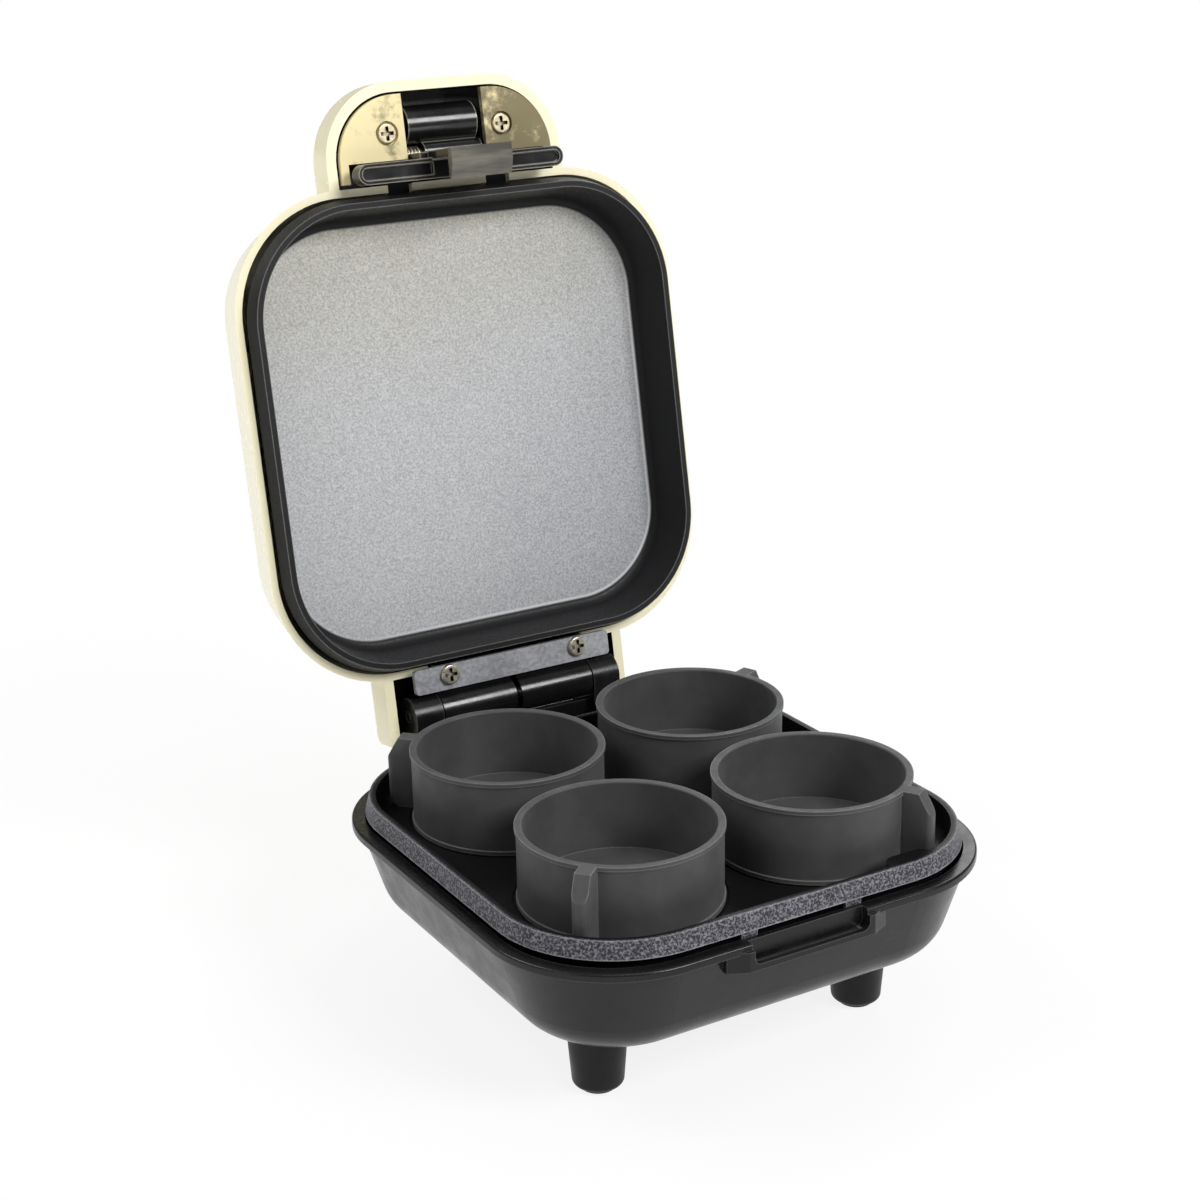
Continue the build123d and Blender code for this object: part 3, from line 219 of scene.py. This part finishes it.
def moulded(name, dark, light, rough, fine=2200.0, depth=0.00002, edge_highlight_colour=None, **constants):
    """A moulded plastic: faint clouding in the colour, uneven gloss and a slight orange peel."""
    made = Finish(name, **constants)
    base = made.blend(made.spread(made.noise(45.0, 4.0), 0.35, 0.65), dark, light)
    # where a colour is given, the edges get it as a painted highlight
    if edge_highlight_colour:
        base = made.blend(made.product(made.edge_highlight_mask(fine_edge_highlight, 0.02, 0.3), 0.7), base, edge_highlight_colour)
    made.colour(base)
    made.rough(made.spread(made.noise(110.0, 5.0, 0.6), 0.3, 0.7, rough[0], rough[1]))
    made.bump(made.noise(fine, 2.0), depth, 0.5)
    made.bump(made.noise(260.0, 2.0), 0.00006, 0.18)
    return made


def brushed(name, dark, light, rough, stretch, recess_shade_colour=None, **constants):
    """A metal with short scratches one way; where a recess colour is given, it is painted into the
    recesses as shade.
    """
    made = Finish(name, **constants)
    scratch = made.noise(900.0, 4.0, 0.7, stretch)
    cloud = made.noise(60.0, 3.0)
    both = made.math("ADD", made.product(scratch, 0.65), made.product(cloud, 0.35))
    base = made.blend(made.spread(both, 0.35, 0.65), dark, light)
    # painted shade in the recesses
    if recess_shade_colour:
        base = made.blend(made.hollow(0.0016), base, recess_shade_colour)
    made.colour(base)
    made.rough(made.spread(both, 0.3, 0.7, rough[0], rough[1]))
    made.bump(scratch, 0.00002, 0.35)
    return made


# ---- materials --------------------------------------------------------------

def shell_finish():
    """Glossy cream plastic, with painted shade in the handle's pocket and in the space under the hood.
    """
    made = Finish("shell_cream")
    base = made.blend(
        made.spread(made.noise(14.0, 1.0), 0.2, 0.8), (0.93, 0.868, 0.61), (0.945, 0.888, 0.645)
    )
    x, y, z = made.shut_place()
    side = made.math("ABSOLUTE", x)
    # painted shade in the pocket in the handle, with its half-round end
    round_centre = -(shell_half + tab_reach - tab_corner)
    over_x = made.above(side, tab_half - tab_corner)
    over_y = made.math("MAXIMUM", made.math("SUBTRACT", round_centre, y), 0.0)
    reach = made.length(over_x, over_y)
    pocket = made.product(
        made.inside(reach, tab_corner - tab_wall + skin),
        made.inside(y, -shell_half + skin),
        made.inside(z, shell_rim + pocket_depth + skin),
        made.inside(made.math("SUBTRACT", shell_rim + under_rim, z), 0.0),
    )
    # painted shade in the space under the hood
    hood = made.product(
        made.inside(side, hood_half + skin),
        made.inside(made.math("SUBTRACT", shell_half - hood_inset, y), 0.0),
        made.inside(z, shell_rim + hood_depth + skin),
        made.inside(made.math("SUBTRACT", shell_rim + under_rim, z), 0.0),
    )
    dark = made.math("MAXIMUM", pocket, hood)
    cloud = made.spread(made.noise(80.0, 4.0), 0.35, 0.65)
    shade = made.blend(cloud, (0.006, 0.006, 0.006), (0.014, 0.013, 0.012))
    made.colour(made.blend(dark, base, shade))
    made.rough(made.spread(made.noise(240.0, 2.0), 0.2, 0.8, 0.2, 0.28))
    made.bump(made.noise(1600.0, 2.0), 0.00002, 0.5)
    made.bump(made.noise(260.0, 2.0), 0.00006, 0.18)
    return made


def latch_finish():
    """Glossy black with painted highlights along the edges; the nose that rides over the catch has a
    painted grey reflection on its lower face.
    """
    made = Finish("latch_black")
    cloud = made.spread(made.noise(45.0, 4.0), 0.35, 0.65)
    black = made.blend(cloud, (0.005, 0.005, 0.005), (0.009, 0.009, 0.009))
    # pale edges: painted highlights
    edges = made.blend(made.edge_highlight_mask(latch_edge_highlight, 0.02, 0.25), black, (0.42, 0.40, 0.34))
    # streaked grey on the nose's lower face: a painted reflection
    reflection_streaks = made.noise(300.0, 4.0, 0.6, (0.15, 1.0, 1.0))
    nose_reflection = made.blend(made.spread(reflection_streaks, 0.3, 0.7), (0.075, 0.07, 0.057), (0.16, 0.15, 0.122))
    nose = made.inside(made.shut_place()[2], nose_reflection_below)
    made.colour(made.blend(nose, edges, nose_reflection))
    made.rough(made.spread(made.noise(110.0, 5.0, 0.6), 0.3, 0.7, 0.16, 0.27))
    made.bump(made.noise(1700.0, 2.0), 0.00002, 0.5)
    return made


def cup_finish():
    """Matt silicone: charcoal, a dusty bloom, and a painted highlight line along the edges."""
    made = Finish(
        "cup_silicone",
        Specular_IOR_Level=0.3,
        Sheen_Weight=0.1,
        Sheen_Roughness=0.45,
        Sheen_Tint=(0.85, 0.88, 0.9, 1.0),
    )
    cloud = made.noise(70.0, 4.0)
    base = made.blend(made.spread(cloud, 0.3, 0.7), (0.052, 0.0525, 0.052), (0.070, 0.071, 0.070))
    # paler edges: painted highlight
    edge_glint = made.edge_highlight_mask(wide_edge_highlight, 0.02, 0.3)
    made.colour(made.blend(made.product(edge_glint, 0.7), base, (0.28, 0.28, 0.275)))
    made.rough(made.spread(made.noise(160.0, 3.0), 0.3, 0.7, 0.5, 0.66))
    made.bump(made.noise(2600.0, 2.0), 0.00003, 0.6)
    return made


def coating_parts(name):
    """What both pans share: the coat's grain and flecks, and its black."""
    made = Finish(name, Specular_IOR_Level=0.22)
    grain = made.noise(1500.0, 3.0, 0.6)
    made.rough(made.spread(grain, 0.3, 0.7, 0.38, 0.6))
    made.bump(grain, 0.00005, 0.55)
    return made, grain


def lower_coat_finish():
    """Black inside the dish; on the turned-down lip the flecks are dense and pale."""
    made, grain = coating_parts("pan_coating_lower")
    specks = made.product(made.spread(grain, 0.58, 0.7), 0.25)
    black = made.blend(specks, (0.0035, 0.0035, 0.004), (0.03, 0.03, 0.034))
    flecks = made.blend(made.spread(grain, 0.42, 0.66), (0.028, 0.027, 0.031), (0.21, 0.205, 0.235))
    x = made.along((1.0, 0.0, 0.0))
    y = made.along((0.0, 1.0, 0.0), -middle)
    lip = made.spread(made.outside_box(x, y, pan_half, pan_corner), lip_low, lip_high)
    base = made.blend(lip, black, flecks)
    # paler lip edges: painted highlight
    edge_glint = made.edge_highlight_mask(wide_edge_highlight, 0.02, 0.3)
    made.colour(made.blend(made.product(edge_glint, lip, 0.8), base, (0.42, 0.42, 0.45)))
    return made


def upper_coat_finish():
    """Black side wall; the flat floor carries a painted reflection in pale grained grey, warmer at the
    top, cooler below and darker towards the right.
    """
    made, grain = coating_parts("pan_coating_upper")
    cloud = made.noise(30.0, 4.0)
    specks = made.product(made.spread(grain, 0.58, 0.7), 0.3)
    wall = made.blend(specks, (0.010, 0.010, 0.011), (0.06, 0.06, 0.066))
    x, y, z = made.shut_place()
    # the floor's pale grey is a painted reflection, tinted warmer towards the top and darkened towards
    # the right as painted shade
    warm = made.blend(made.spread(grain, 0.3, 0.7), (0.335, 0.32, 0.26), (0.555, 0.535, 0.445))
    cool = made.blend(made.spread(grain, 0.3, 0.7), (0.35, 0.355, 0.365), (0.565, 0.57, 0.585))
    right_shade = made.blend(made.spread(grain, 0.3, 0.7), (0.22, 0.23, 0.245), (0.39, 0.40, 0.42))
    height = made.math("ADD", made.product(y, -1.0), made.product(cloud, 0.08))
    across = made.math("ADD", made.math("ADD", x, made.product(y, 0.5)), made.product(cloud, 0.08))
    grey = made.blend(made.spread(height, 0.02, 0.16), cool, warm)
    grey = made.blend(made.spread(across, 0.0, 0.16, 0.0, 0.8), grey, right_shade)
    # the painted reflection on the floor ends in a round-cornered outline, with a painted highlight
    # line on the right and at the hinge
    shifted = made.along((1.0, 0.0, 0.0), pale_shift)
    squared = made.product(y, pale_half / pale_half_depth)
    edge = made.outside_box(shifted, squared, pale_half, pale_corner)
    floor = made.product(
        made.spread(edge, -0.0003, 0.0006, 1.0, 0.0),
        made.spread(z, lid_pan_floor - 0.0024, lid_pan_floor - 0.0018),
    )
    line = made.product(
        made.spread(edge, -0.0011, -0.0003),
        made.spread(made.math("ADD", x, y), -0.01, 0.06),
        0.6,
    )
    painted = made.blend(floor, wall, made.blend(line, grey, (0.76, 0.77, 0.78)))
    # paler rim edge: painted highlight
    rim_highlight = made.product(made.edge_highlight_mask(wide_edge_highlight, 0.02, 0.3), made.inside(z, rim_z + 0.0020), 0.8)
    made.colour(made.blend(rim_highlight, painted, (0.32, 0.31, 0.29)))
    return made


def cover_finish():
    """Satin olive-grey plastic, a little mottled, with a painted reflection that makes its left lobe
    paler.
    """
    made = Finish("cover_grey", Specular_IOR_Level=0.4)
    # the slope along x paints a reflection that lightens the left lobe
    cloud = made.math("ADD", made.noise(170.0, 5.0, 0.65), made.along((-7.0, 0.0, 0.0)))
    made.colour(made.blend(made.spread(cloud, 0.34, 0.64), (0.20, 0.165, 0.08), (0.84, 0.725, 0.40)))
    made.rough(made.spread(made.noise(110.0, 5.0, 0.6), 0.3, 0.7, 0.3, 0.44))
    made.bump(made.noise(2000.0, 2.0), 0.00003, 0.5)
    return made


def lead_finish():
    """A braided sleeve over the wire."""
    made = Finish("lead_sleeve")
    weave = made.product(made.noise(1400.0, 2.0), made.cells(1900.0))
    made.colour(made.blend(made.spread(weave, 0.05, 0.3), (0.45, 0.43, 0.38), (0.78, 0.76, 0.7)))
    made.rough(made.spread(weave, 0.05, 0.3, 0.7, 0.9))
    made.bump(weave, 0.0002, 0.8)
    return made


def clear_finish(name, dark, light, rough, transmission):
    """Clear moulded plastic or glass with a faintly pebbled skin."""
    made = Finish(name, IOR=1.49, Transmission_Weight=transmission)
    made.colour(made.blend(made.spread(made.noise(90.0), 0.3, 0.7), dark, light))
    made.rough(made.spread(made.noise(300.0), 0.3, 0.7, rough[0], rough[1]))
    made.bump(made.cells(900.0), 0.0001, 0.5)
    return made


# the housing's paler edges are a painted highlight
housing = moulded(
    "housing_black", (0.0055, 0.0055, 0.006), (0.0095, 0.0092, 0.009), (0.22, 0.34), 1500.0, 0.00003,
    edge_highlight_colour=(0.12, 0.12, 0.12), Specular_IOR_Level=0.32,
)
foot = moulded(
    "foot_black", (0.006, 0.006, 0.0065), (0.011, 0.011, 0.012), (0.36, 0.5), 1800.0, 0.00004,
    Specular_IOR_Level=0.22,
)
knuckle = moulded("knuckle_black", (0.005, 0.005, 0.005), (0.009, 0.009, 0.009), (0.14, 0.26), 1700.0)
pad = moulded("pad_rubber", (0.02, 0.02, 0.02), (0.04, 0.04, 0.04), (0.75, 0.9), 2600.0, 0.00006)
gland = moulded(
    "gland_rubber", (0.012, 0.012, 0.012), (0.024, 0.024, 0.024), (0.6, 0.8), 2400.0, 0.00006
)
ceramic = moulded(
    "ceramic_white", (0.68, 0.65, 0.58), (0.82, 0.80, 0.74), (0.65, 0.85), 3000.0, 0.00005
)
carrier = moulded(
    "carrier_black", (0.008, 0.008, 0.008), (0.014, 0.014, 0.014), (0.5, 0.7), Specular_IOR_Level=0.2
)
cap = brushed(
    "thermostat_shell", (0.42, 0.42, 0.43), (0.62, 0.62, 0.63), (0.3, 0.45), (1.0, 1.0, 0.15),
    Metallic=1.0,
)
plate = brushed(
    "hinge_steel", (0.24, 0.245, 0.26), (0.42, 0.425, 0.45), (0.42, 0.6), (0.7, 1.0, 1.0), Metallic=0.35
)
screw = brushed(
    "screw_steel", (0.42, 0.38, 0.30), (0.66, 0.61, 0.50), (0.25, 0.42), (1.0, 1.0, 1.0),
    recess_shade_colour=(0.012, 0.009, 0.007), Metallic=0.8,
)
handle_screw = brushed(
    "screw_brassy", (0.36, 0.31, 0.20), (0.60, 0.53, 0.36), (0.28, 0.45), (1.0, 1.0, 1.0),
    recess_shade_colour=(0.012, 0.009, 0.007), Metallic=0.8,
)
heater = brushed(
    "heater_steel", (0.12, 0.105, 0.095), (0.3, 0.29, 0.28), (0.4, 0.6), (1.0, 1.0, 1.0),
    Metallic=1.0,
)
sheet = brushed(
    "reflector_steel", (0.5, 0.5, 0.51), (0.74, 0.74, 0.75), (0.28, 0.42), (0.1, 1.0, 1.0),
    Metallic=1.0,
)
silicone = cup_finish()
lead = lead_finish()

finishes = {
    "base_housing": housing,
    "lower_pan": lower_coat_finish(),
    "upper_pan": upper_coat_finish(),
    "lid_shell": shell_finish(),
    "handle_cover": cover_finish(),
    "handle_screws": handle_screw,
    "latch_lever": latch_finish(),
    "hinge_knuckles": knuckle,
    "hinge_plate": plate,
    "lower_reflector": sheet,
    "lid_carrier": carrier,
    "thermostat": cap,
    "cord_gland": gland,
    "terminal_block": ceramic,
    "indicator_lens": clear_finish(
        "lens_amber", (0.80, 0.25, 0.04), (0.88, 0.33, 0.07), (0.08, 0.2), 0.45
    ),
    "indicator_lamp": clear_finish(
        "lamp_glass", (0.80, 0.76, 0.68), (0.9, 0.87, 0.8), (0.03, 0.1), 0.9
    ),
}
for place in ("front_left", "front_right", "back_left", "back_right"):
    finishes[f"foot_{place}"] = foot
    finishes[f"foot_pad_{place}"] = pad
    finishes[f"cup_{place}"] = silicone
for level in ("lower", "upper"):
    finishes[f"{level}_heater"] = heater
    finishes[f"{level}_heater_terminals"] = ceramic
    finishes[f"{level}_pan_screws"] = screw
for name in ("hinge_screws", "hinge_pin", "latch_pin", "latch_spring", "thermal_fuse"):
    finishes[name] = screw
for name in ("lead_to_thermostat", "lead_thermostat_to_heater", "lead_block_to_heater"):
    finishes[name] = lead

for name, made in finishes.items():
    if not nodes[name].material_slots:
        nodes[name].data.materials.append(None)
    for slot in nodes[name].material_slots:
        slot.link = "OBJECT"
        slot.material = made.material


# ---- floor, light and camera ------------------------------------------------

def floor_white():
    """White for the camera and in reflections; near the part a share of it darkens with the shadows."""
    material = bpy.data.materials.new("studio_white")
    material.use_nodes = True
    tree = material.node_tree
    tree.nodes.clear()

    def math_node(operation, a, b):
        node = tree.nodes.new("ShaderNodeMath")
        node.operation = operation
        for socket, value in zip(node.inputs, (a, b)):
            if isinstance(value, (int, float)):
                socket.default_value = value
            else:
                tree.links.new(value, socket)
        return node.outputs[0]

    out = tree.nodes.new("ShaderNodeOutputMaterial")
    mix = tree.nodes.new("ShaderNodeMixShader")
    paint = tree.nodes.new("ShaderNodeBsdfDiffuse")
    glow = tree.nodes.new("ShaderNodeEmission")
    path = tree.nodes.new("ShaderNodeLightPath")
    paint.inputs[0].default_value = (0.9, 0.9, 0.9, 1.0)
    glow.inputs[0].default_value = (1.0, 1.0, 1.0, 1.0)
    glow.inputs[1].default_value = 1.0
    coords = tree.nodes.new("ShaderNodeTexCoord")
    away = tree.nodes.new("ShaderNodeVectorMath")
    away.operation = "LENGTH"
    tree.links.new(coords.outputs["Object"], away.inputs[0])
    share = tree.nodes.new("ShaderNodeMapRange")
    share.interpolation_type = "SMOOTHSTEP"
    share.inputs["From Min"].default_value = 0.12
    share.inputs["From Max"].default_value = 0.5
    share.inputs["To Min"].default_value = 0.85
    share.inputs["To Max"].default_value = 1.0
    tree.links.new(away.outputs["Value"], share.inputs["Value"])
    seen = math_node("MAXIMUM", path.outputs["Is Camera Ray"], path.outputs["Is Glossy Ray"])
    seen = math_node("MAXIMUM", seen, path.outputs["Is Transmission Ray"])
    tree.links.new(math_node("MULTIPLY", seen, share.outputs["Result"]), mix.inputs[0])
    tree.links.new(paint.outputs[0], mix.inputs[1])
    tree.links.new(glow.outputs[0], mix.inputs[2])
    tree.links.new(mix.outputs[0], out.inputs[0])
    return material


def disc(name, radius, count=96):
    """A flat round floor on the table's level."""
    turns = [2 * math.pi * i / count for i in range(count)]
    mesh = bpy.data.meshes.new(name)
    ring = [(radius * math.cos(turn), radius * math.sin(turn), 0.0) for turn in turns]
    mesh.from_pydata(ring, [], [tuple(range(count))])
    made = bpy.data.objects.new(name, mesh)
    bpy.context.scene.collection.objects.link(made)
    return made


floor = disc("studio_floor", 14.0)
floor.data.materials.append(floor_white())


def studio_world(strength):
    """Even soft light, with plain white behind the part."""
    world = bpy.data.worlds.new("studio")
    bpy.context.scene.world = world
    world.use_nodes = True
    tree = world.node_tree
    tree.nodes.clear()
    out = tree.nodes.new("ShaderNodeOutputWorld")
    mix = tree.nodes.new("ShaderNodeMixShader")
    path = tree.nodes.new("ShaderNodeLightPath")
    tree.links.new(path.outputs["Is Camera Ray"], mix.inputs[0])
    for socket, level in ((mix.inputs[1], strength), (mix.inputs[2], 1.0)):
        sky = tree.nodes.new("ShaderNodeBackground")
        sky.inputs[0].default_value = (1.0, 1.0, 1.0, 1.0)
        sky.inputs[1].default_value = level
        tree.links.new(sky.outputs[0], socket)
    tree.links.new(mix.outputs[0], out.inputs[0])


def softbox(name, turn, tilt, distance, width, height, level, aim=(0.0, 0.0, 0.1)):
    """A rectangular lamp, degrees round from the front and up; level 1 lights a white face fully."""
    turn, tilt = math.radians(turn), math.radians(tilt)
    away = Vector((math.sin(turn) * math.cos(tilt), -math.cos(turn) * math.cos(tilt), math.sin(tilt)))
    data = bpy.data.lights.new(name, "AREA")
    data.shape = "RECTANGLE"
    data.size = width
    data.size_y = height
    data.energy = level * (math.pi * distance) ** 2
    made = bpy.data.objects.new(name, data)
    bpy.context.scene.collection.objects.link(made)
    place = Vector(aim) + distance * away
    made.matrix_world = Matrix.LocRotScale(place, away.to_track_quat("Z", "Y"), None)


studio_world(0.2)
softbox("key", 22.0, 36.0, 1.7, 0.7, 0.6, 0.8)
softbox("fill", -70.0, 22.0, 1.6, 0.5, 0.9, 0.07)
softbox("back_left", -122.0, 46.0, 1.7, 0.9, 0.8, 0.42)
softbox("back_right", 130.0, 34.0, 1.7, 0.9, 0.8, 0.3)
softbox("top", 20.0, 78.0, 1.6, 0.9, 0.7, 0.16)


def fitted_camera():
    """The photograph's view; its numbers come from fitting points of the part."""
    turn, tilt, roll = math.radians(-30.39), math.radians(19.11), math.radians(-1.14)
    distance, aim_right, aim_up = 0.68416, -0.01742, 0.06162
    back = Vector((math.sin(turn) * math.cos(tilt), -math.cos(turn) * math.cos(tilt), math.sin(tilt)))
    right = (-back).cross(Vector((0.0, 0.0, 1.0))).normalized()
    up = right.cross(-back)
    rolled_right = math.cos(roll) * right + math.sin(roll) * up
    rolled_up = -math.sin(roll) * right + math.cos(roll) * up
    place = back * distance + aim_right * rolled_right + aim_up * rolled_up
    data = bpy.data.cameras.new("camera")
    data.sensor_width = 36.0
    data.lens = 67.68
    made = bpy.data.objects.new("camera", data)
    bpy.context.scene.collection.objects.link(made)
    turned = Matrix((rolled_right, rolled_up, back)).transposed()
    made.matrix_world = Matrix.Translation(place + Vector((0.0, middle, rim_z))) @ turned.to_4x4()
    bpy.context.scene.camera = made


fitted_camera()
bpy.context.scene.view_settings.view_transform = "Standard"
